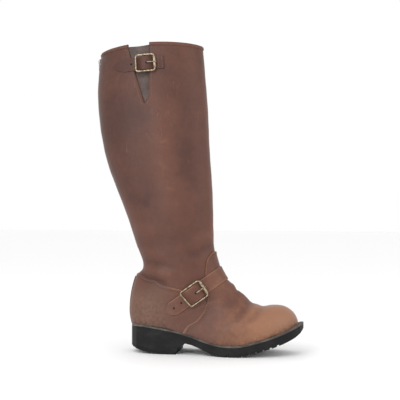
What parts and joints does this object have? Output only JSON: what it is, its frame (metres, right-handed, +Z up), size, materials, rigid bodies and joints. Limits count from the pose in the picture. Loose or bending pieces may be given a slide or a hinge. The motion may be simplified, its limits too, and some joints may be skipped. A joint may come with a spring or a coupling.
{
  "type": "tall buckled boot",
  "caption": "Tall brown leather boot with a hollow shaft, buckled top and instep straps, side gusset, back zip and a black rubber sole with a raised heel.",
  "frame": {"origin": "on the floor, under the middle of the heel's flat rest face", "axes": "+X to the toe, +Z up, +Y to the inner side of the right foot, so the buckles face -Y"},
  "size_m": [0.3252, 0.1, 0.4814],
  "materials": {
    "rubber": "matte black moulded rubber",
    "welt": "dark grey welt edge",
    "insole": "tan insole leather",
    "leather": "oiled brown leather",
    "dark_leather": "dark brown soft leather",
    "brass": "antique brass",
    "steel": "grey metal",
    "textile": "woven zip tape"
  },
  "bodies": {
    "boot": {"outsole": "rubber", "heel_lift": "rubber", "midsole": "welt", "insole": "insole", "upper": "leather", "vamp": "leather", "heel_counter": "leather", "back_stay": "leather", "collar_binding_front": "leather", "collar_binding_back": "leather", "gusset": "dark_leather", "zip_tape": "textile", "zip_chain": "steel", "zip_slider": "steel", "top_strap": "leather", "top_strap_frame": "brass", "top_strap_roller": "brass", "top_strap_prong": "brass", "instep_strap": "leather", "instep_strap_frame": "brass", "instep_strap_roller": "brass", "instep_strap_prong": "brass"},
    "zip_pull": {"zip_pull": "steel"}
  },
  "joints": [
    {"name": "pull_hinge", "type": "hinge", "parent": "boot", "child": "zip_pull", "pos_m": [-0.11652, 0, 0.4572], "axis": [0, 1, 0], "range_deg": [0, 150]}
  ]
}
